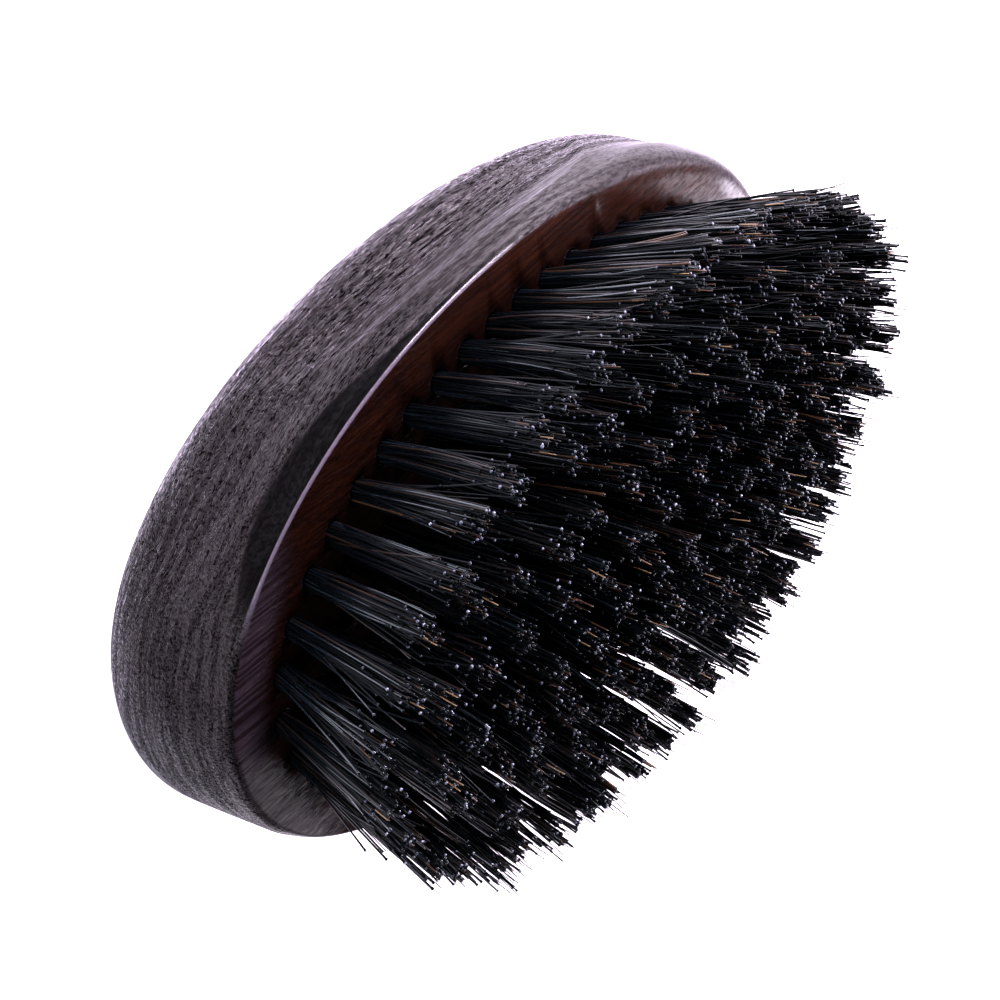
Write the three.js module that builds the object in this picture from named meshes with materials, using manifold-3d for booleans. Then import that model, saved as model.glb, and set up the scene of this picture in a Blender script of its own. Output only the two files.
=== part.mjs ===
// Oval palm brush for beards: a solid hardwood body, drilled on its domed face and filled with
// staple-set tufts of boar bristle. It lies on its flat back with the bristles pointing up.
// Millimetres. Origin: middle of the flat back. +X: long axis. +Z: the way the bristles point.
import * as THREE from "three";
import { mergeVertices } from "three/addons/utils/BufferGeometryUtils.js";
import Module from "manifold-3d";

// ---------- driving dimensions: wooden body ----------
const BODY_HALF_LENGTH = 58; // at the edge of the bristle face
const BODY_HALF_WIDTH = 32;
const BODY_THICKNESS = 22.2; // from the flat back to the edge of the face
const OVAL_POWER = 2.1; // 2 is an ellipse, more is squarer
const FACE_DOME = 1; // rise of the face from its edge to its middle
const EDGE_SIZE_SIDES = 0.45; // rounded edge round the face, along the long sides
const EDGE_SIZE_ENDS = 2.2; // and round the two ends
const BELLY_SWELL = 0.5; // the side wall stands this much outside the face outline
const BELLY_TOP = 8; // depth below the face where the bulge under the bevel has eased to the swell
const BACK_ROUND_IN_ENDS = 10.8; // round-over from the side wall to the flat back, inwards
const BACK_ROUND_IN_SIDES = 9.6;
const BACK_ROUND_UP = 9.7; // the same, upwards

// ---------- driving dimensions: bevel under the rim, a hair line at mid-length ----------
const BEVEL_MIDDLE = 0.9; // depth of the bevel at mid-length
const BEVEL_SHOULDER = 4.2; // over the shoulders
const BEVEL_ENDS = 1.5; // round the ends
const BEVEL_FROM = 14; // along the brush: where the bevel starts to widen
const BEVEL_FULL = 38; // where it is widest
const BEVEL_EASE = 42; // where it starts to narrow again
const BEVEL_END = 56; // where it has narrowed
const BEVEL_SLOPE = 0.24; // inset of the bevel for each mm of its depth
const BEVEL_SOFTNESS = 0.2; // how softly it runs into the wall

// ---------- driving dimensions: finger scoops, one in each long side ----------
const SCOOP_HALF_LENGTH = 32;
const SCOOP_DEPTH = 2.2;
const SCOOP_END_POWER = 3; // 2 tapers the scoop evenly, more keeps it full until near its ends
const SCOOP_CREASE_MIDDLE = 4; // depth of the scoop's upper crease below the face, at mid-length
const SCOOP_CREASE_ENDS = 13.5; // the same, where the scoop runs out
const SCOOP_BOTTOM = 17.5; // depth where the scoop blends into the back

// ---------- driving dimensions: tufts ----------
const RIM_TUFTS = 44;
const RIM_INSET_ENDS = 7.9; // from the face outline in to the ring of rim tufts
const RIM_INSET_SIDES = 7.1;
const FIELD_INSET_ENDS = 6.4; // from the rim tufts in to the field of straight rows
const FIELD_INSET_SIDES = 5.7;
const ROWS_EACH_SIDE = 3; // rows on each side of the middle row
const ROW_PITCH = 5.8; // across the brush
const TUFT_PITCH = 5.6; // least distance along a row
const FAN_ALONG = 0.006; // lean of a tuft for each mm from the middle, along the brush
const FAN_ACROSS = 0.0105; // the same, across it
const BRISTLES_MIDDLE = 22; // free length of a tuft at the middle of the brush
const BRISTLES_RIM = 19.7; // and in the rim ring
const HOLE_RADIUS = 1.6;
const HOLE_DEPTH = 9;
const HOLE_OVERCUT = 2; // the drill starts this far above the face
const CLEARANCE = 0.3; // between a tuft and the wood round it
const TIP_RADIUS_RIM = 2.8;
const TIP_RADIUS_ALONG_ROW = 3.6; // the tufts of a row mingle at their tips
const TIP_RADIUS_ACROSS_ROW = 2.9;
const FLARE_MIDWAY = 0.45; // share of the flare that is reached at half the free length

// ---------- resolution ----------
const BODY_SIDES = 88;
const TUFT_SIDES = 6;
const BEVEL_ROW_GAP = 0.1; // keeps the bevel's rows below the edge's first row

const wood = { color: 0x33221e, roughness: 0.42, metalness: 0 };
const bristle = { color: 0x121316, roughness: 0.5, metalness: 0 };

const wasm = await Module();
wasm.setup();

function solidOf(geometry) {
  const welded = mergeVertices(geometry, 1e-3);
  return new wasm.Manifold(
    new wasm.Mesh({
      numProp: 3,
      vertProperties: welded.attributes.position.array,
      triVerts: new Uint32Array(welded.index.array),
    }),
  );
}

function geometryOf(solid) {
  const mesh = solid.getMesh();
  const geometry = new THREE.BufferGeometry();
  geometry.setAttribute("position", new THREE.BufferAttribute(mesh.vertProperties, 3));
  geometry.setIndex(new THREE.BufferAttribute(mesh.triVerts, 1));
  geometry.computeVertexNormals();
  return geometry;
}

// Closed skin over rings of equal length, first ring at the bottom, each ring anticlockwise from above.
function loft(rings, bottomCentre, topCentre) {
  const sides = rings[0].length;
  const points = [...rings.flat(), bottomCentre, topCentre];
  const bottom = points.length - 2;
  const top = points.length - 1;
  const lastRing = (rings.length - 1) * sides;
  const index = [];
  for (let side = 0; side < sides; side++) {
    const next = (side + 1) % sides;
    index.push(bottom, next, side);
    index.push(top, lastRing + side, lastRing + next);
    for (let ring = 0; ring < lastRing; ring += sides) {
      index.push(ring + side, ring + next, ring + sides + next);
      index.push(ring + side, ring + sides + next, ring + sides + side);
    }
  }
  return new THREE.BufferGeometry().setFromPoints(points).setIndex(index);
}

// ---------- wooden body ----------
function ovalPoint(angle, halfLength, halfWidth, z) {
  const stretch = (value) => Math.sign(value) * Math.abs(value) ** (2 / OVAL_POWER);
  const x = halfLength * stretch(Math.cos(angle));
  const y = halfWidth * stretch(Math.sin(angle));
  return new THREE.Vector3(x, y, z);
}

function rimPoint(angle) {
  return ovalPoint(angle, BODY_HALF_LENGTH, BODY_HALF_WIDTH, BODY_THICKNESS);
}

// From the wall, over the rounded edge (turn 0 to 1), to the face.
function edgePoint(angle, turn) {
  const size = edgeSize(angle);
  const onFace = ovalPoint(angle, BODY_HALF_LENGTH - size, BODY_HALF_WIDTH - size, 0);
  onFace.z = faceHeight(onFace.x, onFace.y);
  const curve = new THREE.QuadraticBezierCurve3(wallPoint(angle, size), rimPoint(angle), onFace);
  return curve.getPoint(turn);
}

function bodyRing(pointAt) {
  return Array.from({ length: BODY_SIDES }, (_, side) => pointAt((2 * Math.PI * side) / BODY_SIDES));
}

const SCOOP_PROFILE_TOP = 0.798; // the greatest value of sin(pi t) (1 - t^2), at t = 0.42

// 1 at mid-length, 0 where the scoop runs out and beyond.
function scoopShare(x) {
  return Math.max(0, 1 - Math.abs(x / SCOOP_HALF_LENGTH) ** SCOOP_END_POWER);
}

function creaseDepth(x) {
  return SCOOP_CREASE_ENDS - (SCOOP_CREASE_ENDS - SCOOP_CREASE_MIDDLE) * Math.sqrt(scoopShare(x));
}

function bevelDepth(x) {
  const out = Math.abs(x);
  const widening = THREE.MathUtils.smoothstep(out, BEVEL_FROM, BEVEL_FULL);
  const narrowing = THREE.MathUtils.smoothstep(out, BEVEL_EASE, BEVEL_END);
  return (
    BEVEL_MIDDLE +
    (BEVEL_SHOULDER - BEVEL_MIDDLE) * widening +
    (BEVEL_ENDS - BEVEL_SHOULDER) * narrowing
  );
}

// How far the scoop cuts into the side wall: steepest at the crease, fading out towards the back.
function scoopCut(x, depth) {
  const crease = creaseDepth(x);
  const down = THREE.MathUtils.clamp((depth - crease) / (SCOOP_BOTTOM - crease), 0, 1);
  const profile = (Math.sin(Math.PI * down) * (1 - down ** 2)) / SCOOP_PROFILE_TOP;
  return SCOOP_DEPTH * profile * scoopShare(x);
}

function wallPoint(angle, depth) {
  const bevel = bevelDepth(rimPoint(angle).x);
  const bulge = BEVEL_SLOPE * bevel;
  const run = depth / bevel;
  const lean = (run + 1 - Math.hypot(run - 1, BEVEL_SOFTNESS)) / 2; // run, levelling off at 1
  const eased = THREE.MathUtils.smoothstep(depth, bevel, BELLY_TOP);
  const swell = bulge * lean + (BELLY_SWELL - bulge) * eased;
  const intoRound = Math.max(0, (depth - BODY_THICKNESS + BACK_ROUND_UP) / BACK_ROUND_UP);
  const rounded = 1 - Math.sqrt(Math.max(0, 1 - intoRound ** 2));
  const halfLength = BODY_HALF_LENGTH + swell - BACK_ROUND_IN_ENDS * rounded;
  const halfWidth = BODY_HALF_WIDTH + swell - BACK_ROUND_IN_SIDES * rounded;
  const point = ovalPoint(angle, halfLength, halfWidth, BODY_THICKNESS - depth);
  point.y -= Math.sign(point.y) * scoopCut(point.x, depth);
  return point;
}

function edgeSize(angle) {
  const endwards = THREE.MathUtils.smoothstep(Math.abs(Math.cos(angle)), 0.75, 0.97);
  return EDGE_SIZE_SIDES + (EDGE_SIZE_ENDS - EDGE_SIZE_SIDES) * endwards;
}

function faceHeight(x, y) {
  const out = Math.abs(x / BODY_HALF_LENGTH) ** OVAL_POWER + Math.abs(y / BODY_HALF_WIDTH) ** OVAL_POWER;
  return BODY_THICKNESS + FACE_DOME * (1 - out);
}

function bodyBlank() {
  const roundShares = [1, 0.97, 0.88, 0.74, 0.57]; // of the round-over's height, from the back up
  const scoopShares = [1, 0.8, 0.6, 0.4, 0.25, 0.1, 0]; // from the scoop's lower end up to its crease
  const bevelShares = [1.4, 1, 0.7]; // of the bevel's depth
  const edgeTurns = [0, 0.5, 1];
  const faceShares = [0.8, 0.5]; // rings that carry the dome of the face
  const rings = [];
  for (const share of roundShares) {
    rings.push(bodyRing((angle) => wallPoint(angle, BODY_THICKNESS - BACK_ROUND_UP * (1 - share))));
  }
  for (const share of scoopShares) {
    rings.push(
      bodyRing((angle) => {
        const crease = creaseDepth(rimPoint(angle).x);
        return wallPoint(angle, crease + (SCOOP_BOTTOM - crease) * share);
      }),
    );
  }
  for (const share of bevelShares) {
    rings.push(
      bodyRing((angle) => {
        const below = Math.max(bevelDepth(rimPoint(angle).x), edgeSize(angle) / bevelShares.at(-1));
        return wallPoint(angle, below * share + BEVEL_ROW_GAP);
      }),
    );
  }
  for (const turn of edgeTurns) {
    rings.push(bodyRing((angle) => edgePoint(angle, turn)));
  }
  for (const share of faceShares) {
    rings.push(
      bodyRing((angle) => {
        const point = ovalPoint(angle, BODY_HALF_LENGTH * share, BODY_HALF_WIDTH * share, 0);
        return point.setZ(faceHeight(point.x, point.y));
      }),
    );
  }
  const backCentre = new THREE.Vector3(0, 0, 0);
  return loft(rings, backCentre, new THREE.Vector3(0, 0, faceHeight(0, 0)));
}

// ---------- tuft places ----------
const ringHalfLength = BODY_HALF_LENGTH - RIM_INSET_ENDS;
const ringHalfWidth = BODY_HALF_WIDTH - RIM_INSET_SIDES;
const fieldHalfLength = ringHalfLength - FIELD_INSET_ENDS;
const fieldHalfWidth = ringHalfWidth - FIELD_INSET_SIDES;

function tuftAt(x, y) {
  const outwards = Math.min(1, (x / ringHalfLength) ** 2 + (y / ringHalfWidth) ** 2);
  return {
    root: new THREE.Vector3(x, y, faceHeight(x, y)),
    direction: new THREE.Vector3(x * FAN_ALONG, y * FAN_ACROSS, 1).normalize(),
    freeLength: BRISTLES_MIDDLE + (BRISTLES_RIM - BRISTLES_MIDDLE) * outwards,
  };
}

const rimTufts = new THREE.EllipseCurve(0, 0, ringHalfLength, ringHalfWidth)
  .getSpacedPoints(RIM_TUFTS)
  .slice(0, RIM_TUFTS)
  .map(({ x, y }) => tuftAt(x, y));

const fieldRows = [];
for (let row = -ROWS_EACH_SIDE; row <= ROWS_EACH_SIDE; row++) {
  const y = row * ROW_PITCH;
  const reach = fieldHalfLength * Math.sqrt(1 - (y / fieldHalfWidth) ** 2);
  const gaps = Math.floor((2 * reach) / TUFT_PITCH);
  fieldRows.push(
    Array.from({ length: gaps + 1 }, (_, place) => tuftAt(-reach + (2 * reach * place) / gaps, y)),
  );
}

// ---------- tufts and their holes ----------
// A six-sided bar along a tuft's direction; each station is [distance from the face, half-size along
// the brush, half-size across it].
function barAlong({ root, direction }, stations) {
  const turn = new THREE.Quaternion().setFromUnitVectors(new THREE.Vector3(0, 0, 1), direction);
  const place = (x, y, z) => new THREE.Vector3(x, y, z).applyQuaternion(turn).add(root);
  const rings = stations.map(([distance, alongSize, acrossSize]) =>
    Array.from({ length: TUFT_SIDES }, (_, side) => {
      const angle = (2 * Math.PI * side) / TUFT_SIDES;
      return place(alongSize * Math.cos(angle), acrossSize * Math.sin(angle), distance);
    }),
  );
  return loft(rings, place(0, 0, stations[0][0]), place(0, 0, stations.at(-1)[0]));
}

function hole(tuft) {
  return barAlong(tuft, [
    [-HOLE_DEPTH, HOLE_RADIUS, HOLE_RADIUS],
    [HOLE_OVERCUT, HOLE_RADIUS, HOLE_RADIUS],
  ]);
}

function tuft(place, tipAlong, tipAcross) {
  const shank = HOLE_RADIUS - CLEARANCE;
  const midway = (tip) => shank + (tip - shank) * FLARE_MIDWAY;
  return barAlong(place, [
    [-HOLE_DEPTH + CLEARANCE, shank, shank],
    [CLEARANCE, shank, shank],
    [place.freeLength / 2, midway(tipAlong), midway(tipAcross)],
    [place.freeLength, tipAlong, tipAcross],
  ]);
}

// ---------- assembly ----------
const brush = new THREE.Group();

function addNode(name, geometry, look) {
  const mesh = new THREE.Mesh(geometry, new THREE.MeshStandardMaterial(look));
  mesh.name = name;
  brush.add(mesh);
}

let body = solidOf(bodyBlank());
for (const place of [...rimTufts, ...fieldRows.flat()]) {
  body = body.subtract(solidOf(hole(place)));
}
addNode("wood_body", geometryOf(body), wood);

rimTufts.forEach((place, number) => {
  const name = "rim_tuft_" + String(number + 1).padStart(2, "0");
  addNode(name, tuft(place, TIP_RADIUS_RIM, TIP_RADIUS_RIM), bristle);
});

fieldRows.forEach((places, number) => {
  const tufts = places.map((place) =>
    solidOf(tuft(place, TIP_RADIUS_ALONG_ROW, TIP_RADIUS_ACROSS_ROW)),
  );
  const row = tufts.reduce((joined, next) => joined.add(next));
  addNode("bristle_row_" + (number + 1), geometryOf(row), bristle);
});

export default brush;
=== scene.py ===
"""The oval palm beard brush: looks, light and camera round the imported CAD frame. Metres, +Z up."""
import math
import bpy
import numpy as np
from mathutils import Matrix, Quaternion, Vector
from mathutils.geometry import delaunay_2d_cdt


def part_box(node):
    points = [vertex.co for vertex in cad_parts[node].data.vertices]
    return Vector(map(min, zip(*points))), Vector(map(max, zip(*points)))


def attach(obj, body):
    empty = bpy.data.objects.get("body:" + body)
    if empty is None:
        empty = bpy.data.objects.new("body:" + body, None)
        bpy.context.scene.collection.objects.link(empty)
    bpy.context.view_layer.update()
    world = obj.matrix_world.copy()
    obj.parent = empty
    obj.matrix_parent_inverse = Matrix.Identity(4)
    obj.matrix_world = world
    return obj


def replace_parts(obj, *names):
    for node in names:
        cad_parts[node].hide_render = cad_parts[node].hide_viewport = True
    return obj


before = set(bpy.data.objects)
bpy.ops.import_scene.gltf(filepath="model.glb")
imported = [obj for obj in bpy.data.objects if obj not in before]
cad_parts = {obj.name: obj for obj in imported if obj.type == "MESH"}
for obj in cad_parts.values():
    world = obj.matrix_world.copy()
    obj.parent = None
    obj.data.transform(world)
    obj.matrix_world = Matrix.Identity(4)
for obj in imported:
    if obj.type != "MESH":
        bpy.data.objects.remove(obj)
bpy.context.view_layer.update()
MM = 0.001
BODY = "root"

# ---------------------------------------------------------------- driving dimensions
# The same body as the CAD at a finer mesh. Depths are measured down from the edge of the face.
HALF_LENGTH = 58.0 * MM
HALF_WIDTH = 32.0 * MM
THICKNESS = 22.2 * MM
OVAL_POWER = 2.1
FACE_DOME = 1.0 * MM
EDGE_CRISP, EDGE_NEAR_END, EDGE_SOFT = 0.45 * MM, 0.9 * MM, 2.6 * MM    # rounded edge of the face
SOFT_FROM, SOFT_FULL = 4 * MM, 28 * MM    # the edge softens towards -X between these
BELLY_SWELL = 0.5 * MM             # the side wall stands this much outside the face outline
BELLY_TOP = 8.0 * MM               # depth where the bulge under the bevel has eased to the swell
BACK_ROUND_IN_ENDS, BACK_ROUND_IN_SIDES = 10.8 * MM, 9.6 * MM
BACK_ROUND_UP = 9.7 * MM
BEVEL_MIDDLE, BEVEL_SHOULDER, BEVEL_ENDS = 0.9 * MM, 4.2 * MM, 1.5 * MM    # depth of the bevel
BEVEL_FROM, BEVEL_FULL, BEVEL_EASE, BEVEL_END = 14 * MM, 38 * MM, 42 * MM, 56 * MM   # along X
BEVEL_SLOPE = 0.24                 # inset of the bevel for each unit of its depth
BEVEL_SOFTNESS = 0.2
SCOOP_HALF_LENGTH = 32.0 * MM
SCOOP_DEPTH = 2.2 * MM
SCOOP_END_POWER = 3
SCOOP_CREASE_MIDDLE, SCOOP_CREASE_ENDS = 4.0 * MM, 13.5 * MM
SCOOP_BOTTOM = 17.5 * MM
SCOOP_PROFILE_TOP = 0.798          # the greatest value of sin(pi t) (1 - t^2)

HOLE_RADIUS = 1.5 * MM
HOLE_MOUTH = 1.72 * MM             # the drill leaves a small countersink
HOLE_COUNTERSINK = 0.2 * MM
HOLE_DEPTH = 9.0 * MM
RIM_TUFTS = 44
ROWS_EACH_SIDE = 3
RIM_INSET_ENDS, RIM_INSET_SIDES = 7.9 * MM, 7.1 * MM
FIELD_INSET_ENDS, FIELD_INSET_SIDES = 6.4 * MM, 5.7 * MM
ROW_PITCH, TUFT_PITCH = 5.8 * MM, 5.6 * MM
FAN_ALONG, FAN_ACROSS = 6.0, 10.5  # lean of a tuft for each metre from the middle
FREE_MIDDLE, FREE_RIM = 22.0 * MM, 19.7 * MM     # free length of the bristles

rng = np.random.default_rng(20)


# ---------------------------------------------------------------- mesh and node helpers
def mesh_object(name, points, polygons, smooth=True):
    """A mesh object from an array of points and a list of index arrays, one array per polygon size."""
    mesh = bpy.data.meshes.new(name)
    mesh.vertices.add(len(points))
    mesh.vertices.foreach_set("co", np.asarray(points, np.float32).ravel())
    corners = np.concatenate([np.asarray(p).ravel() for p in polygons])
    sizes = np.concatenate([np.full(len(p), np.asarray(p).shape[1]) for p in polygons])
    mesh.loops.add(len(corners))
    mesh.loops.foreach_set("vertex_index", corners.astype(np.int32))
    mesh.polygons.add(len(sizes))
    starts = np.concatenate([[0], np.cumsum(sizes)[:-1]])
    mesh.polygons.foreach_set("loop_start", starts.astype(np.int32))
    mesh.polygons.foreach_set("use_smooth", np.full(len(sizes), smooth))
    mesh.update(calc_edges=True)
    mesh.validate()
    made = bpy.data.objects.new(name, mesh)
    bpy.context.scene.collection.objects.link(made)
    return made


def grid_faces(rows, around, first=0):
    """Quads between rows of points that close on themselves."""
    row, column = np.meshgrid(np.arange(rows - 1), np.arange(around), indexing="ij")
    low = first + row * around + column
    low_next = first + row * around + (column + 1) % around
    return np.stack([low, low_next, low_next + around, low + around], -1).reshape(-1, 4)


class Nodes:
    """Short calls for building one material's node tree."""

    def __init__(self, name):
        self.material = bpy.data.materials.new(name)
        self.material.use_nodes = True
        self.tree = self.material.node_tree
        self.shader = self.tree.nodes["Principled BSDF"]

    def new(self, kind, links=None, **settings):
        node = self.tree.nodes.new(kind)
        for key, value in settings.items():
            setattr(node, key, value)
        for socket, value in (links or {}).items():
            if isinstance(value, bpy.types.NodeSocket):
                self.tree.links.new(value, node.inputs[socket])
            else:
                node.inputs[socket].default_value = value
        return node

    def math(self, operation, a, b=0.0, clamp=False):
        node = self.new("ShaderNodeMath", {0: a, 1: b}, operation=operation, use_clamp=clamp)
        return node.outputs[0]

    def noise(self, where, scale, detail=2.0, roughness=0.5, distortion=0.0):
        node = self.new("ShaderNodeTexNoise", {"Vector": where, "Scale": scale, "Detail": detail,
                                               "Roughness": roughness, "Distortion": distortion})
        return node.outputs["Fac"]

    def stretch(self, where, scale):
        return self.new("ShaderNodeVectorMath", {0: where, 1: scale}, operation="MULTIPLY").outputs[0]

    def span(self, value, low, high, to_low=0.0, to_high=1.0, smooth=True):
        kind = "SMOOTHSTEP" if smooth else "LINEAR"
        node = self.new("ShaderNodeMapRange", {"Value": value, "From Min": low, "From Max": high,
                                               "To Min": to_low, "To Max": to_high},
                        interpolation_type=kind)
        return node.outputs["Result"]

    def mix(self, share, a, b, blend="MIX"):
        node = self.new("ShaderNodeMix", {0: share, 6: a, 7: b}, data_type="RGBA", blend_type=blend)
        return node.outputs[2]

    def set(self, **values):
        """Sets or links the Principled shader's inputs; underscores stand for spaces."""
        for key, value in values.items():
            socket = self.shader.inputs[key.replace("_", " ")]
            if isinstance(value, bpy.types.NodeSocket):
                self.tree.links.new(value, socket)
            else:
                socket.default_value = value


# ---------------------------------------------------------------- materials
def wood_material():
    """Open-grained hardwood, stained dark and lacquered; redder on the bristle face."""
    m = Nodes("stained_hardwood")
    where = m.stretch(m.new("ShaderNodeTexCoord").outputs["Object"], (1000, 1000, 1000))  # in mm
    drift = m.new("ShaderNodeTexNoise", {"Vector": m.stretch(where, (0.02, 0.06, 0.06)), "Scale": 1.0,
                                         "Detail": 2.0}).outputs["Color"]
    drift = m.new("ShaderNodeVectorMath", {0: drift, 1: (0.5, 0.5, 0.5)}, operation="SUBTRACT").outputs[0]
    warped = m.new("ShaderNodeVectorMath", {0: drift, 1: (0.0, 6.0, 5.0), 2: where},
                   operation="MULTIPLY_ADD").outputs[0]
    layers = m.noise(m.stretch(warped, (0.012, 0.10, 1.15)), 1.0, 2.0, 0.6)    # growth layers
    streaks = m.noise(m.stretch(warped, (0.05, 2.2, 2.6)), 1.0, 3.0, 0.6)
    fibres = m.noise(m.stretch(warped, (0.7, 5.0, 5.0)), 1.0, 2.0, 0.6)
    mottle = m.noise(m.stretch(warped, (0.55, 2.9, 2.9)), 1.0, 2.0, 0.65)
    pore_rows = m.span(layers, 0.36, 0.56, 0.40, 1.0)
    long_pores = m.span(m.noise(m.stretch(warped, (0.34, 3.8, 3.8)), 1.0, 1.5, 0.5), 0.59, 0.64)
    short_pores = m.span(m.noise(m.stretch(warped, (0.75, 5.2, 5.2)), 1.0, 1.5, 0.5), 0.56, 0.61)
    pores = m.math("MULTIPLY", m.math("MAXIMUM", long_pores, short_pores), pore_rows)
    stain = m.noise(m.stretch(where, (0.035, 0.05, 0.05)), 1.0, 2.0, 0.5)
    dense = m.span(layers, 0.44, 0.58)     # the dark late wood of each layer

    normal = m.new("ShaderNodeNewGeometry").outputs["Normal"]
    up = m.new("ShaderNodeSeparateXYZ", {0: normal}).outputs["Z"]
    x, y, z = m.new("ShaderNodeSeparateXYZ", {0: where}).outputs
    along = m.math("ABSOLUTE", x)
    # 0 at the middle of the face and 1 all along its outline
    out = m.math("ADD", *(m.math("POWER", m.math("DIVIDE", m.math("ABSOLUTE", side), half / MM), OVAL_POWER)
                          for side, half in ((x, HALF_LENGTH), (y, HALF_WIDTH))))
    face_up = m.span(up, 0.80, 0.97)
    margin = m.math("MULTIPLY", face_up, m.math("MULTIPLY", m.span(out, 0.76, 0.92), m.span(along, 42.0, 51.0)))
    on_face = m.math("SUBTRACT", face_up, margin, clamp=True)
    # the bevel and the crisp edge above it are rubbed smooth and hold more lacquer; the bevel's near-black colour is
    # painted shade
    tilted = m.math("MULTIPLY", m.span(up, 0.10, 0.20), m.span(up, 0.85, 0.97, 1.0, 0.0))
    tilted = m.math("MULTIPLY", tilted, m.math("MULTIPLY", m.span(x, -4.0, 8.0), m.span(x, 49.0, 55.0, 1.0, 0.0)))
    tilted = m.math("MULTIPLY", tilted, m.span(out, 0.88, 0.94))
    rim_polish_and_shade = m.math("MULTIPLY", tilted, m.span(z, 16.5, 17.5))
    edge = m.math("MULTIPLY", rim_polish_and_shade, m.span(up, 0.30, 0.45))
    # the soft roll of the rim over the far half is polished to a satin by the hand
    satin = m.math("MULTIPLY", m.span(z, 12.5, 16.5), m.span(x, -22.0, -4.0, 1.0, 0.0))
    smooth = m.math("MULTIPLY", m.span(z, 12.5, 15.0, 0.0, 0.8), m.span(x, 8.0, 24.0, 1.0, 0.0))
    calm = m.math("MAXIMUM", m.math("MAXIMUM", rim_polish_and_shade, satin), m.math("MAXIMUM", smooth, margin))
    textured = m.math("SUBTRACT", 1.0, m.math("MULTIPLY", calm, 0.9))
    pores = m.math("MULTIPLY", pores, m.math("MULTIPLY", textured, m.span(on_face, 0.0, 1.0, 1.0, 0.5)))
    grain_lines = m.span(m.noise(m.stretch(warped, (0.02, 1.6, 0.0)), 1.0, 1.0, 0.5), 0.42, 0.56)
    grain_lines = m.math("MULTIPLY", grain_lines, m.span(x, -30.0, 30.0, 0.25, 1.0))
    matt = m.math("MULTIPLY", m.math("MAXIMUM", satin, margin), m.span(x, -30.0, 0.0, 1.0, 0.0))

    side = m.mix(m.span(streaks, 0.3, 0.7), (0.006, 0.0044, 0.0054, 1), (0.022, 0.0155, 0.019, 1))
    side = m.mix(m.math("MULTIPLY", dense, 0.6), side, (0.005, 0.0038, 0.0045, 1))
    side = m.mix(m.span(stain, 0.35, 0.7, 0.0, 0.4), side, (0.006, 0.0045, 0.0055, 1))
    face = m.mix(m.span(streaks, 0.3, 0.7), (0.007, 0.0019, 0.0010, 1), (0.030, 0.0084, 0.0034, 1))
    face = m.mix(m.span(stain, 0.35, 0.7, 0.0, 0.6), face, (0.008, 0.0020, 0.0012, 1))
    face = m.mix(m.span(out, 0.62, 0.84, 0.8, 0.0), face, (0.004, 0.0014, 0.0010, 1))     # painted shade: darker between the tufts, where the bristles shade the face
    # painted light: the end margins of the face are coloured paler and more lavender than the face inside them, with
    # the dark grain lines of the wood
    lit_margin_colour = m.mix(grain_lines, (0.016, 0.009, 0.012, 1), (0.054, 0.034, 0.050, 1))
    colour = m.mix(on_face, side, face)
    colour = m.mix(margin, colour, lit_margin_colour)
    colour = m.mix(m.span(fibres, 0.35, 0.75, 0.0, 0.5), colour, (0.004, 0.0026, 0.0028, 1))
    # painted shade: the bevel under the rim is coloured near black
    colour = m.mix(rim_polish_and_shade, colour, (0.0015, 0.0014, 0.0017, 1))
    colour = m.mix(m.math("MULTIPLY", edge, 0.9), colour, (0.110, 0.088, 0.122, 1))    # painted highlight: pale colour for the glint along the crisp edge
    colour = m.mix(m.math("MULTIPLY", pores, 0.9), colour, (0.001, 0.0008, 0.0008, 1))

    gloss = m.math("SUBTRACT", 0.15, m.math("MULTIPLY", dense, 0.07))
    gloss = m.math("MULTIPLY", gloss, m.span(mottle, 0.32, 0.68, 0.35, 1.65))
    gloss = m.math("MULTIPLY", gloss, m.span(pores, 0.0, 1.0, 1.0, 0.1))
    gloss = m.math("MULTIPLY", gloss, m.span(on_face, 0.0, 1.0, 1.0, 0.15))
    gloss = m.math("MULTIPLY", gloss, m.span(rim_polish_and_shade, 0.0, 1.0, 1.0, 0.2))
    gloss = m.math("MULTIPLY", gloss, m.span(matt, 0.0, 1.0, 1.0, 0.65))
    gloss = m.math("ADD", gloss, m.math("MULTIPLY", edge, 0.25), clamp=True)
    rough = m.span(mottle, 0.30, 0.70, 0.50, 0.27)
    rough = m.math("ADD", rough, m.math("MULTIPLY", dense, 0.10))
    rough = m.math("ADD", rough, m.math("MULTIPLY", pores, 0.45))
    rough = m.math("ADD", rough, m.math("MULTIPLY", m.math("MAXIMUM", satin, margin), m.math("SUBTRACT", 0.42, rough)))
    rough = m.math("SUBTRACT", rough, m.math("MULTIPLY", rim_polish_and_shade, 0.24), clamp=True)
    haze = m.math("MULTIPLY", m.span(mottle, 0.32, 0.66, 0.12, 1.12), m.span(pores, 0.0, 1.0, 1.0, 0.05))
    haze = m.math("MULTIPLY", haze, m.span(dense, 0.0, 1.0, 1.0, 0.40))
    haze = m.math("MULTIPLY", haze, m.span(streaks, 0.37, 0.60, 0.35, 1.30))
    haze = m.math("MULTIPLY", haze, m.span(z, 4.0, 12.0, 2.1, 1.0))     # the grip side is rubbed palest
    haze = m.math("MULTIPLY", haze, m.span(x, -10.0, 28.0, 1.15, 0.72))
    lip = m.math("MULTIPLY", m.span(z, 13.0, 16.0), m.span(x, -12.0, 0.0))
    haze = m.math("MULTIPLY", haze, m.span(lip, 0.0, 1.0, 1.0, 0.42))
    calm_haze = m.span(m.math("ADD", mottle, grain_lines), 0.3, 1.6, 0.48, 0.76)
    calm_haze = m.math("ADD", calm_haze, m.span(x, -40.0, -15.0, 0.24, 0.0))
    haze = m.math("ADD", haze, m.math("MULTIPLY", m.math("MAXIMUM", satin, margin),
                                      m.math("SUBTRACT", calm_haze, haze)))
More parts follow.
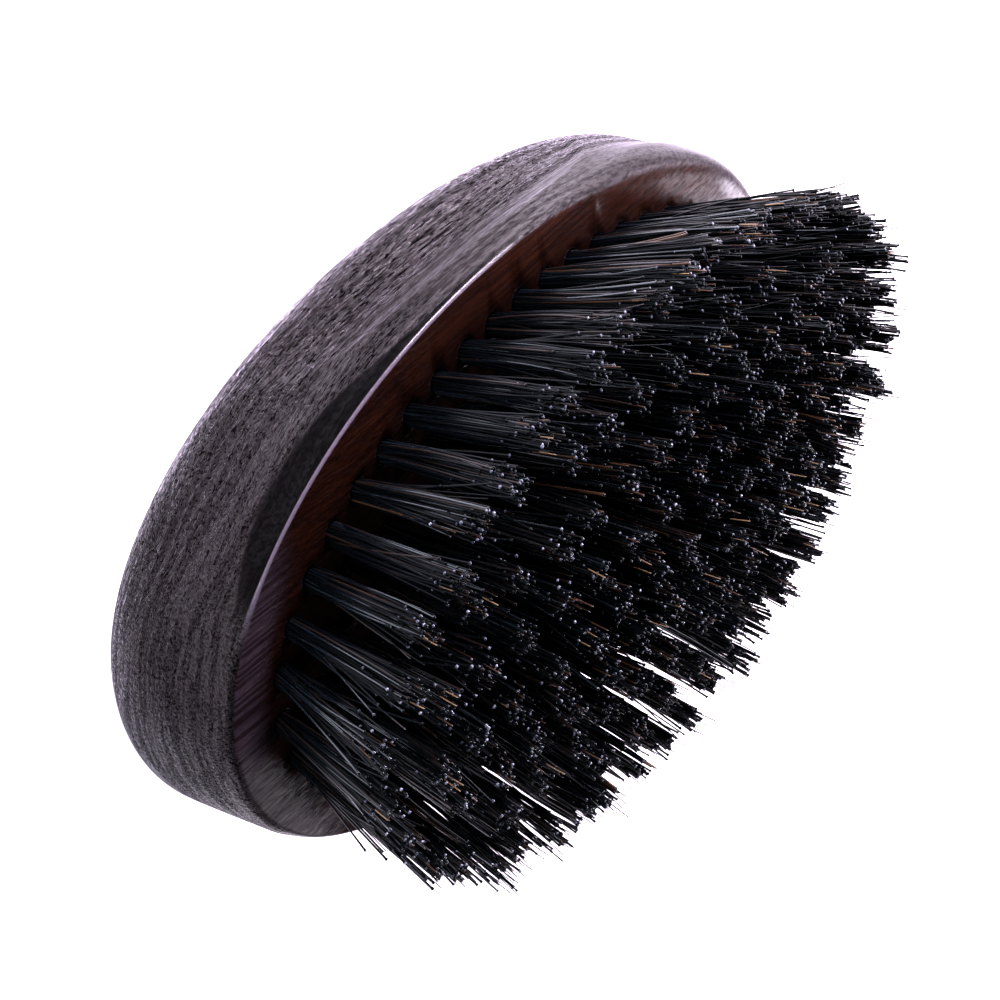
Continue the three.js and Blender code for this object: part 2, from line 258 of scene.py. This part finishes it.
    haze = m.math("MULTIPLY", haze, m.span(m.math("MAXIMUM", on_face, rim_polish_and_shade), 0.0, 1.0, 1.0, 0.0))
    height = m.math("MULTIPLY", pores, -1.2)
    height = m.math("ADD", height, m.math("MULTIPLY", fibres, 0.9))
    height = m.math("ADD", height, m.math("MULTIPLY", layers, 3.0))
    height = m.math("ADD", height, m.math("MULTIPLY", streaks, 0.7))
    height = m.math("ADD", height, m.math("MULTIPLY", mottle, 1.3))
    height = m.math("MULTIPLY", height, textured)
    bump = m.new("ShaderNodeBump", {"Height": height, "Strength": 0.8, "Distance": 0.12 * MM})
    m.set(Base_Color=colour, Roughness=rough, Normal=bump.outputs[0], Specular_IOR_Level=gloss,
          Sheen_Weight=haze, Sheen_Roughness=0.19, Sheen_Tint=(0.88, 0.79, 1.0, 1))
    return m.material


# name: (base colour, roughness, specular level)
LOOKS = {
    "bristle_black": ((0.0016, 0.0023, 0.0033, 1), 0.30, 0.09),
    "bristle_cool_black": ((0.0045, 0.0070, 0.0105, 1), 0.22, 0.90),
    "bristle_brown_black": ((0.0100, 0.0060, 0.0050, 1), 0.30, 0.30),
    "bristle_brown": ((0.0550, 0.0240, 0.0110, 1), 0.36, 0.35),
    "bristle_tan": ((0.2100, 0.1300, 0.0700, 1), 0.40, 0.35),
    # painted highlights: these three looks colour some cut ends dim, grey or pale bluish in place of the glint of
    # light on them
    "painted_glint_dim": ((0.032, 0.036, 0.056, 1), 0.34, 0.35),
    "painted_glint_grey": ((0.105, 0.112, 0.170, 1), 0.34, 0.35),
    "painted_glint_pale": ((0.280, 0.290, 0.390, 1), 0.34, 0.35),
}
LOOK_NUMBER = {name: number for number, name in enumerate(LOOKS)}
SHAFT_SHARES = {"bristle_black": 0.70, "bristle_cool_black": 0.16, "bristle_brown_black": 0.13,
                "bristle_brown": 0.01}
CUT_END_SHARES = {"bristle_black": 0.59, "painted_glint_dim": 0.20, "painted_glint_grey": 0.14, "painted_glint_pale": 0.07}
UNCUT_TIP_SHARES = {"bristle_black": 0.64, "bristle_brown_black": 0.24, "bristle_brown": 0.08,
                    "bristle_tan": 0.04}


def bristle_materials():
    made = []
    for name, (colour, roughness, specular) in LOOKS.items():
        m = Nodes(name)
        m.set(Base_Color=colour, Roughness=roughness, Specular_IOR_Level=specular,
              Specular_Tint=(0.82, 0.96, 1.0, 1))
        made.append(m.material)
    return made


def draw_looks(shares, count):
    """Material numbers drawn in the given shares."""
    numbers = [LOOK_NUMBER[name] for name in shares]
    return rng.choice(numbers, count, p=list(shares.values()))


def steel_material():
    m = Nodes("anchor_steel")
    where = m.stretch(m.new("ShaderNodeTexCoord").outputs["Object"], (1000, 1000, 1000))
    scratches = m.noise(m.stretch(where, (2.0, 14.0, 14.0)), 1.0, 3.0, 0.6)
    m.set(Base_Color=(0.55, 0.54, 0.52, 1), Metallic=1.0, Roughness=m.span(scratches, 0.3, 0.7, 0.25, 0.45))
    return m.material


# ---------------------------------------------------------------- the wooden body
AROUND = 480
EDGE_ROWS = 8
LIP_ROWS = 9
BEVEL_ROWS = 9
SCOOP_ROWS = 30
BACK_ROWS = 22
BACK_FLAT_SHARES = (0.8, 0.55, 0.3, 0.1)
HOLE_SIDES = 20
FACE_GRID = 1.5 * MM


def oval(angle, half_length, half_width):
    c, s = np.cos(angle), np.sin(angle)
    x = half_length * np.sign(c) * np.abs(c) ** (2 / OVAL_POWER)
    y = half_width * np.sign(s) * np.abs(s) ** (2 / OVAL_POWER)
    return x, y


def smoothstep(value, low, high):
    t = np.clip((value - low) / (high - low), 0, 1)
    return t * t * (3 - 2 * t)


def scoop_share(x):
    return np.maximum(0, 1 - np.abs(x / SCOOP_HALF_LENGTH) ** SCOOP_END_POWER)


def crease_depth(x):
    return SCOOP_CREASE_ENDS - (SCOOP_CREASE_ENDS - SCOOP_CREASE_MIDDLE) * np.sqrt(scoop_share(x))


def scoop_cut(x, depth):
    """How far the finger scoop cuts into the wall: steepest at its crease, fading towards the back."""
    crease = crease_depth(x)
    down = np.clip((depth - crease) / (SCOOP_BOTTOM - crease), 0, 1)
    profile = np.sin(np.pi * down) * (1 - down**2) / SCOOP_PROFILE_TOP
    return SCOOP_DEPTH * profile * scoop_share(x)


def bevel_depth(x):
    """The bevel under the rim is a hair line at mid-length, widest over the shoulders."""
    out = np.abs(x)
    return (BEVEL_MIDDLE + (BEVEL_SHOULDER - BEVEL_MIDDLE) * smoothstep(out, BEVEL_FROM, BEVEL_FULL)
            + (BEVEL_ENDS - BEVEL_SHOULDER) * smoothstep(out, BEVEL_EASE, BEVEL_END))


def wall_row(angle, depth):
    rim_x = oval(angle, HALF_LENGTH, HALF_WIDTH)[0]
    bevel = bevel_depth(rim_x)
    run = depth / bevel
    lean = (run + 1 - np.sqrt((run - 1) ** 2 + BEVEL_SOFTNESS**2)) / 2
    bulge = BEVEL_SLOPE * bevel
    swell = bulge * lean + (BELLY_SWELL - bulge) * smoothstep(depth, bevel, BELLY_TOP)
    into_round = np.clip((depth - THICKNESS + BACK_ROUND_UP) / BACK_ROUND_UP, 0, 1)
    rounded = 1 - np.sqrt(1 - into_round**2)
    x, y = oval(angle, HALF_LENGTH + swell - BACK_ROUND_IN_ENDS * rounded,
                HALF_WIDTH + swell - BACK_ROUND_IN_SIDES * rounded)
    y = y - np.sign(y) * scoop_cut(x, depth)
    return np.stack([x, y, THICKNESS - depth], -1)


def face_height(x, y):
    out = np.abs(x / HALF_LENGTH) ** OVAL_POWER + np.abs(y / HALF_WIDTH) ** OVAL_POWER
    return THICKNESS + FACE_DOME * (1 - out)


def edge_size(angle):
    """Crisp along the sides, a little softer round the +X end and soft over the -X half."""
    near = (EDGE_NEAR_END - EDGE_CRISP) * smoothstep(np.cos(angle), 0.80, 0.98)
    far = (EDGE_SOFT - EDGE_CRISP) * smoothstep(-oval(angle, HALF_LENGTH, HALF_WIDTH)[0], SOFT_FROM, SOFT_FULL)
    return EDGE_CRISP + near + far


def wall_rows():
    """Rows of points from the flat back up over the wall and the broken edge to the face."""
    angle = 2 * np.pi * np.arange(AROUND) / AROUND
    rim_x = oval(angle, HALF_LENGTH, HALF_WIDTH)[0]
    crease, bevel, edge = crease_depth(rim_x), bevel_depth(rim_x), edge_size(angle)
    rows = []
    turn_at_scoop = math.acos(1 - (THICKNESS - SCOOP_BOTTOM) / BACK_ROUND_UP)
    for turn in np.linspace(0, turn_at_scoop, BACK_ROWS, endpoint=False):
        depth = THICKNESS - BACK_ROUND_UP * (1 - math.cos(turn))
        rows.append(wall_row(angle, np.full(AROUND, depth)))
    for share in np.linspace(1, 0, SCOOP_ROWS) ** 1.4:
        rows.append(wall_row(angle, crease + (SCOOP_BOTTOM - crease) * share))
    low = np.maximum(bevel, edge) * 1.3
    for share in np.linspace(1, 0, LIP_ROWS)[1:]:
        rows.append(wall_row(angle, low + (crease - low) * share))
    for share in np.linspace(1, 0, BEVEL_ROWS)[1:]:
        rows.append(wall_row(angle, edge + (low - edge) * share))
    x, y = oval(angle, HALF_LENGTH, HALF_WIDTH)
    corner = np.stack([x, y, face_height(x, y)], -1)
    x, y = oval(angle, HALF_LENGTH - edge, HALF_WIDTH - edge)
    top = np.stack([x, y, face_height(x, y)], -1)
    start = rows[-1]
    for t in np.linspace(0, 1, EDGE_ROWS + 1)[1:]:
        rows.append((1 - t) ** 2 * start + 2 * t * (1 - t) * corner + t**2 * top)
    return rows


def tuft_at(x, y):
    """Root on the face, direction and free length of one tuft."""
    half_length, half_width = HALF_LENGTH - RIM_INSET_ENDS, HALF_WIDTH - RIM_INSET_SIDES
    outwards = min(1.0, (x / half_length) ** 2 + (y / half_width) ** 2)
    return {
        "root": Vector((x, y, float(face_height(x, y)))),
        "direction": Vector((x * FAN_ALONG, y * FAN_ACROSS, 1)).normalized(),
        "free": FREE_MIDDLE + (FREE_RIM - FREE_MIDDLE) * outwards,
    }


def rim_places():
    """The ring of tufts, evenly spaced along an ellipse, starting on +X and running anticlockwise."""
    half_length, half_width = HALF_LENGTH - RIM_INSET_ENDS, HALF_WIDTH - RIM_INSET_SIDES
    angle = np.linspace(0, 2 * np.pi, 2001)
    x, y = half_length * np.cos(angle), half_width * np.sin(angle)
    run = np.concatenate([[0], np.cumsum(np.hypot(np.diff(x), np.diff(y)))])
    at = np.interp(np.arange(RIM_TUFTS) * run[-1] / RIM_TUFTS, run, angle)
    return [tuft_at(half_length * math.cos(a), half_width * math.sin(a)) for a in at]


def row_places():
    """The straight rows inside the ring, first row at -Y."""
    reach_length = HALF_LENGTH - RIM_INSET_ENDS - FIELD_INSET_ENDS
    reach_width = HALF_WIDTH - RIM_INSET_SIDES - FIELD_INSET_SIDES
    rows = []
    for row in range(-ROWS_EACH_SIDE, ROWS_EACH_SIDE + 1):
        y = row * ROW_PITCH
        reach = reach_length * math.sqrt(1 - (y / reach_width) ** 2)
        gaps = math.floor(2 * reach / TUFT_PITCH)
        rows.append([tuft_at(-reach + 2 * reach * place / gaps, y) for place in range(gaps + 1)])
    return rows


def side_axes(direction):
    """Two unit vectors square to a direction, the first leaning along X."""
    w = np.array(direction)
    u = np.cross((0, 1, 0), w)
    u /= np.linalg.norm(u)
    return u, np.cross(w, u), w


def build_body(tufts):
    rows = wall_rows()
    points = [np.concatenate(rows)]
    quads = [grid_faces(len(rows), AROUND)]
    count = len(rows) * AROUND

    # the flat back: smaller and smaller ovals, then a fan
    ring = rows[0]
    previous = np.arange(AROUND)
    for share in BACK_FLAT_SHARES:
        points.append(ring * (share, share, 1))
        ring_index = count + np.arange(AROUND)
        nexts = np.roll(np.arange(AROUND), -1)
        quads.append(np.stack([previous[nexts], previous, ring_index, ring_index[nexts]], -1))
        previous, count = ring_index, count + AROUND
    points.append(np.zeros((1, 3)))
    fan = np.stack([previous[np.roll(np.arange(AROUND), -1)], previous, np.full(AROUND, count)], -1)
    count += 1

    # the face: a flat triangulation between the edge and the mouths of the holes, then lifted
    top = (len(rows) - 1) * AROUND + np.arange(AROUND)
    outline = rows[-1][:, :2]
    around_hole = 2 * np.pi * np.arange(HOLE_SIDES) / HOLE_SIDES
    circle = np.stack([np.cos(around_hole), np.sin(around_hole)], -1)
    roots = np.array([t["root"] for t in tufts])
    mouths = roots[:, None, :2] + HOLE_MOUTH * circle[None]
    gx, gy = np.meshgrid(np.arange(-HALF_LENGTH, HALF_LENGTH, FACE_GRID),
                         np.arange(-HALF_WIDTH, HALF_WIDTH, FACE_GRID * 0.866), indexing="ij")
    gx = gx + FACE_GRID / 2 * (np.arange(gx.shape[1]) % 2)
    grid = np.stack([gx.ravel(), gy.ravel()], -1)
    inside = (np.abs(grid[:, 0]) / (HALF_LENGTH - EDGE_SOFT - 1.5 * MM)) ** 2 + \
             (np.abs(grid[:, 1]) / (HALF_WIDTH - EDGE_SOFT - 1.5 * MM)) ** 2 < 1
    clear = np.linalg.norm(grid[:, None] - roots[None, :, :2], axis=-1).min(1) > HOLE_MOUTH + 0.5 * MM
    grid = grid[inside & clear]
    flat = np.concatenate([outline, mouths.reshape(-1, 2), grid])
    loops = [np.arange(AROUND)]
    for hole in range(len(tufts)):
        loops.append(AROUND + hole * HOLE_SIDES + np.arange(HOLE_SIDES))
    edges = [(int(a), int(b)) for loop in loops for a, b in zip(loop, np.roll(loop, -1), strict=True)]
    made = delaunay_2d_cdt([Vector(p) for p in flat.tolist()], edges, [], 0, 1e-7)
    triangles = np.array([t for t in made[2] if len(t) == 3])
    flat_points = np.array([tuple(p) for p in made[0]])
    centres = flat_points[triangles].mean(1)
    in_hole = np.linalg.norm(centres[:, None] - roots[None, :, :2], axis=-1).min(1) < HOLE_MOUTH * 0.985
    triangles = triangles[~in_hole]
    a, b, c = (flat_points[triangles[:, k]] for k in range(3))
    clockwise = (b - a)[:, 0] * (c - a)[:, 1] < (b - a)[:, 1] * (c - a)[:, 0]
    triangles[clockwise] = triangles[clockwise][:, ::-1]
    index = np.full(len(flat_points), -1)
    for place, origins in enumerate(made[3]):
        if origins and origins[0] < AROUND:
            index[place] = top[origins[0]]
    new_places = np.flatnonzero(index < 0)
    index[new_places] = count + np.arange(len(new_places))
    lifted = flat_points[new_places]
    points.append(np.column_stack([lifted, face_height(lifted[:, 0], lifted[:, 1])]))
    count += len(new_places)
    where_from = {origins[0]: place for place, origins in enumerate(made[3]) if origins}
    face = index[triangles]

    # the holes: countersink, straight wall and a drill point at the bottom
    caps = []
    for number, tuft in enumerate(tufts):
        u, v, w = side_axes(tuft["direction"])
        root = np.array(tuft["root"])
        mouth = np.array([index[where_from[AROUND + number * HOLE_SIDES + k]] for k in range(HOLE_SIDES)])
        previous = mouth
        for depth in (HOLE_COUNTERSINK, HOLE_DEPTH * 0.4, HOLE_DEPTH):
            ring = root - w * depth + HOLE_RADIUS * (circle[:, :1] * u + circle[:, 1:] * v)
            points.append(ring)
            ring_index = count + np.arange(HOLE_SIDES)
            nexts = np.roll(np.arange(HOLE_SIDES), -1)
            quads.append(np.stack([previous, previous[nexts], ring_index[nexts], ring_index], -1))
            previous, count = ring_index, count + HOLE_SIDES
        points.append((root - w * (HOLE_DEPTH + HOLE_RADIUS * 0.4))[None])
        caps.append(np.stack([previous, np.roll(previous, -1), np.full(HOLE_SIDES, count)], -1))
        count += 1
    body = mesh_object("drilled_hardwood_body", np.concatenate(points),
                       [np.concatenate(quads), np.concatenate([fan, face, *caps])])
    body.data.materials.append(wood_material())
    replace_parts(body, "wood_body")
    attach(body, BODY)
    return body


# ---------------------------------------------------------------- bristles
PER_TUFT = 88
BRISTLE_SIDES = 5
BRISTLE_RADIUS = 0.128 * MM
BUNDLE_RADIUS = 1.32 * MM          # of the roots in their hole
TIP_SPREAD = (1.10, 1.60)          # tips spread this many times wider than the roots
CLUMPS = 15                        # the bristles of a tuft cling together in clumps
CLUMP_PULL = 0.55
TUFT_LEAN = 0.35 * MM              # stray of a whole tuft's tip
TIP_JITTER = 0.32 * MM
STRAY_SHARE, STRAY_JITTER = 0.12, 1.5 * MM
UNCUT_SHARE = 0.20                 # uncut hairs, which taper to a point
SHORT_SHARE, SHORT_DEPTH = 0.6, 3.2 * MM         # cut hairs that end below the trimmed top
TUFT_TRIM, CLUMP_TRIM, HAIR_TRIM = 0.45 * MM, 0.65 * MM, 0.20 * MM
UNCUT_LESS, UNCUT_MORE = -0.6 * MM, 2.0 * MM
CURVE = 0.50 * MM
ANCHOR_DEPTH = 8.0 * MM
STATIONS = np.array([0.0, 0.16, 0.34, 0.52, 0.70, 0.89, 0.985])    # along the free length
CUT_END_WIDTH = 1.65
UNCUT_TIP_WIDTH = 0.50


def bristle_points(tuft):
    """Paths and tube radii of one tuft's bristles, and which of them are uncut."""
    u, v, w = side_axes(tuft["direction"])
    root = np.array(tuft["root"])
    n = PER_TUFT
    spot = np.arange(n)
    out = BUNDLE_RADIUS * np.sqrt((spot + 0.5) / n)
    turn = spot * math.radians(137.5) + rng.uniform(0, 2 * np.pi)
    foot = np.stack([out * np.cos(turn), out * np.sin(turn)], -1)
    foot += rng.normal(0, 0.06 * MM, (n, 2))

    tip = foot * rng.uniform(*TIP_SPREAD)
    heads = tip[rng.choice(n, CLUMPS, replace=False)]
    clump = np.linalg.norm(tip[:, None] - heads[None], axis=-1).argmin(1)
    tip += CLUMP_PULL * (heads[clump] - tip)
    jitter = np.where(rng.random(n) < STRAY_SHARE, STRAY_JITTER, TIP_JITTER)
    tip += rng.normal(0, 1, (n, 2)) * jitter[:, None] + rng.normal(0, TUFT_LEAN, 2)
    bow = rng.normal(0, CURVE / 2, (CLUMPS, 2))[clump] + rng.normal(0, CURVE / 4, (n, 2))

    uncut = rng.random(n) < UNCUT_SHARE
    short = (rng.random(n) < SHORT_SHARE) & ~uncut
    length = tuft["free"] + rng.normal(0, TUFT_TRIM)
    length = length + rng.normal(0, CLUMP_TRIM, CLUMPS)[clump] + rng.normal(0, HAIR_TRIM, n)
    length -= short * np.abs(rng.normal(0, SHORT_DEPTH, n))
    length += uncut * rng.uniform(UNCUT_LESS, UNCUT_MORE, n)
    radius = BRISTLE_RADIUS * rng.normal(1, 0.10, n)

    s = STATIONS[None, :, None]
    side = foot[:, None] + (tip - foot)[:, None] * s**1.15 + bow[:, None] * 4 * s * (1 - s)
    up = length[:, None] * STATIONS[None]
    anchor = foot * 0.7
    side = np.concatenate([anchor[:, None], side], 1)
    up = np.concatenate([np.full((n, 1), -ANCHOR_DEPTH), up], 1)
    path = root + side[..., :1] * u + side[..., 1:] * v + up[..., None] * w
    rest = (1 - STATIONS[-1]) / (STATIONS[-1] - STATIONS[-2])
    end = path[:, -1] + (path[:, -1] - path[:, -2]) * rest
    path = np.concatenate([path, end[:, None]], 1)
    along = np.concatenate([[0], STATIONS, [1.0]])
    tapered = np.interp(along, (0, 0.5, 1), (1, 0.9, UNCUT_TIP_WIDTH))
    cut = np.interp(along, (0, 0.9, 0.985, 1), (0.92, 1.0, 1.08, CUT_END_WIDTH))
    return path, radius[:, None] * np.where(uncut[:, None], tapered, cut), uncut


def tube_mesh(name, tufts):
    """One object with the bristles of several tufts, each a closed tube with a domed cut end."""
    parts = [bristle_points(t) for t in tufts]
    path, radius, uncut = (np.concatenate([p[k] for p in parts]) for k in range(3))
    n, rings = path.shape[:2]
    ahead = np.gradient(path, axis=1)
    ahead /= np.linalg.norm(ahead, axis=-1, keepdims=True)
    across = np.cross(ahead, (0.12, 0.99, 0.05))
    across /= np.linalg.norm(across, axis=-1, keepdims=True)
    other = np.cross(ahead, across)
    phase = 2 * np.pi * np.arange(BRISTLE_SIDES) / BRISTLE_SIDES
    ring = across[:, :, None] * np.cos(phase)[:, None] + other[:, :, None] * np.sin(phase)[:, None]
    tube = path[:, :, None] + radius[:, :, None, None] * ring
    dome = path[:, -1] + ahead[:, -1] * radius[:, -1:] * 0.5
    per = rings * BRISTLE_SIDES + 1
    points = np.concatenate([tube.reshape(n, -1, 3), dome[:, None]], 1).reshape(-1, 3)
    first = np.arange(n)[:, None, None] * per
    quads = (grid_faces(rings, BRISTLE_SIDES)[None] + first).reshape(-1, 4)
    side = np.arange(BRISTLE_SIDES)
    last = (rings - 1) * BRISTLE_SIDES
    tips = np.stack([last + side, last + (side + 1) % BRISTLE_SIDES,
                     np.full(BRISTLE_SIDES, per - 1)], -1)
    tips = (tips[None] + first).reshape(-1, 3)
    foot = side[::-1][None] + np.arange(n)[:, None] * per
    made = mesh_object(name, points, [quads, tips, foot])

    shaft = draw_looks(SHAFT_SHARES, n)
    end = np.where(uncut, draw_looks(UNCUT_TIP_SHARES, n), draw_looks(CUT_END_SHARES, n))
    looks = np.repeat(shaft[:, None], rings - 1, 1)
    looks[:, -2:] = np.where(uncut, end, shaft)[:, None]
    slots = np.concatenate([np.repeat(looks.ravel(), BRISTLE_SIDES),
                            np.repeat(end, BRISTLE_SIDES), shaft])
    made.data.polygons.foreach_set("material_index", slots.astype(np.int32))
    for material in bristle_looks:
        made.data.materials.append(material)
    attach(made, BODY)
    return made


# ---------------------------------------------------------------- anchors
ANCHOR_SIZE = np.array([2.7, 1.5, 0.36]) * MM


def build_anchors(tufts):
    """One flat bent wire staple across the bottom of each hole, all in one piece."""
    corner = np.array([(-0.5, -0.5), (-0.5, 0.5), (0.5, 0.5), (0.5, -0.5)])
    stations = np.linspace(-0.5, 0.5, 7)
    points, quads = [], []
    for number, tuft in enumerate(tufts):
        u, v, w = side_axes(tuft["direction"])
        middle = np.array(tuft["root"]) - w * (ANCHOR_DEPTH + ANCHOR_SIZE[1] * 0.2)
        section = corner * (ANCHOR_SIZE[2], ANCHOR_SIZE[1] * 0.5)
        for s in stations:
            sag = (s * 2) ** 2 * 0.18 * MM
            narrow = 1 - 0.25 * (abs(s) > 0.45)
            points.append(middle + u * s * ANCHOR_SIZE[0] + w * sag
                          + narrow * (section[:, :1] * v + section[:, 1:] * w))
        first = number * len(stations) * 4
        quads.append(grid_faces(len(stations), 4, first))
        last = first + (len(stations) - 1) * 4
        quads.append(np.array([[first + 3, first + 2, first + 1, first],
                               [last, last + 1, last + 2, last + 3]]))
    anchors = mesh_object("flat_wire_anchors", np.concatenate(points), [np.concatenate(quads)], smooth=False)
    anchors.data.materials.append(steel_material())
    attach(anchors, BODY)


# ---------------------------------------------------------------- assembly
rim = rim_places()
field = row_places()
all_tufts = [*rim, *(t for row in field for t in row)]
build_body(all_tufts)
bristle_looks = bristle_materials()
for number, tuft in enumerate(rim, 1):
    node = f"rim_tuft_{number:02d}"
    low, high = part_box(node)
    tip = tuft["root"] + tuft["direction"] * tuft["free"]
    assert all(a - MM < t < b + MM for a, t, b in zip(low, tip, high, strict=True)), node
    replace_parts(tube_mesh(f"{node}_bristles", [tuft]), node)
for number, tufts in enumerate(field, 1):
    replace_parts(tube_mesh(f"bristle_row_{number}_bristles", tufts), f"bristle_row_{number}")
build_anchors(all_tufts)

# ---------------------------------------------------------------- floor, light and camera
FLOOR_HALF = 6.0


def emitter_floor():
    floor = mesh_object("floor", [(-FLOOR_HALF, -FLOOR_HALF, 0), (FLOOR_HALF, -FLOOR_HALF, 0),
                                  (FLOOR_HALF, FLOOR_HALF, 0), (-FLOOR_HALF, FLOOR_HALF, 0)],
                        [np.array([[0, 1, 2, 3]])], smooth=False)
    m = Nodes("pale_floor")
    m.set(Base_Color=(0.9, 0.9, 0.9, 1), Roughness=0.9, Emission_Color=(1.06, 1.0, 1.18, 1), Emission_Strength=1.0)
    floor.data.materials.append(m.material)


def softbox(name, place, aim, size, power, colour=(1, 1, 1)):
    light = bpy.data.lights.new(name, "AREA")
    light.shape = "RECTANGLE"
    light.size, light.size_y = size
    light.energy = power
    light.color = colour
    lamp = bpy.data.objects.new(name, light)
    lamp.location = place
    lamp.rotation_mode = "QUATERNION"
    lamp.rotation_quaternion = (Vector(aim) - Vector(place)).to_track_quat("-Z", "Y")
    bpy.context.scene.collection.objects.link(lamp)


def spot(name, place, aim, cone_degrees, power, colour):
    light = bpy.data.lights.new(name, "SPOT")
    light.spot_size = math.radians(cone_degrees)
    light.spot_blend = 1.0
    light.shadow_soft_size = 0.02
    light.energy = power
    light.color = colour
    lamp = bpy.data.objects.new(name, light)
    lamp.location = place
    lamp.rotation_mode = "QUATERNION"
    lamp.rotation_quaternion = (Vector(aim) - Vector(place)).to_track_quat("-Z", "Y")
    bpy.context.scene.collection.objects.link(lamp)


CAMERA_PLACE = (0.1949, -0.1684, 0.1684)
CAMERA_AIM = (0.0038, 0.0017, 0.0191)
CAMERA_ROLL = math.radians(107.05)     # the brush stands on one end of the picture, bristles to the right
CAMERA_LENS, CAMERA_SENSOR = 88.6, 36.0


def build_camera():
    data = bpy.data.cameras.new("camera")
    data.lens, data.sensor_width = CAMERA_LENS, CAMERA_SENSOR
    camera = bpy.data.objects.new("camera", data)
    camera.location = CAMERA_PLACE
    look = (Vector(CAMERA_AIM) - Vector(CAMERA_PLACE)).to_track_quat("-Z", "Y")
    camera.rotation_mode = "QUATERNION"
    camera.rotation_quaternion = look @ Quaternion((0, 0, 1), CAMERA_ROLL)
    bpy.context.scene.collection.objects.link(camera)
    bpy.context.scene.camera = camera


emitter_floor()
middle = (0, 0, 0.012)
softbox("far_key", (-0.62, -0.08, 0.45), middle, (0.35, 0.35), 10.0, (1.0, 0.84, 1.0))
softbox("far_rim", (-0.65, 0.37, 0.27), middle, (0.20, 0.20), 10.0, (0.96, 0.84, 1.0))
softbox("near_strip", (0.68, -0.30, 0.08), middle, (0.14, 0.10), 3.0, (0.95, 0.97, 1.0))
softbox("near_end", (-0.36, 0.62, 0.28), middle, (0.20, 0.20), 1.2, (0.97, 0.90, 1.0))
softbox("rim_spark", (-0.10, -0.70, 0.27), middle, (0.60, 0.05), 1.1, (1.0, 0.93, 1.0))
softbox("far_floor", (-0.22, -0.28, 0.12), (-0.08, -0.045, 0.0), (0.25, 0.10), 4.2, (1.0, 0.87, 1.0))
spot("near_floor", (0.45, -0.55, 0.40), (0.072, -0.048, 0.0), 7.0, 15.0, (0.97, 0.97, 1.0))
world = bpy.data.worlds.new("studio")
world.use_nodes = True
world.node_tree.nodes["Background"].inputs["Color"].default_value = (0.93, 0.94, 1.0, 1)
world.node_tree.nodes["Background"].inputs["Strength"].default_value = 0.06
bpy.context.scene.world = world
bpy.context.scene.view_settings.view_transform = "Standard"
build_camera()
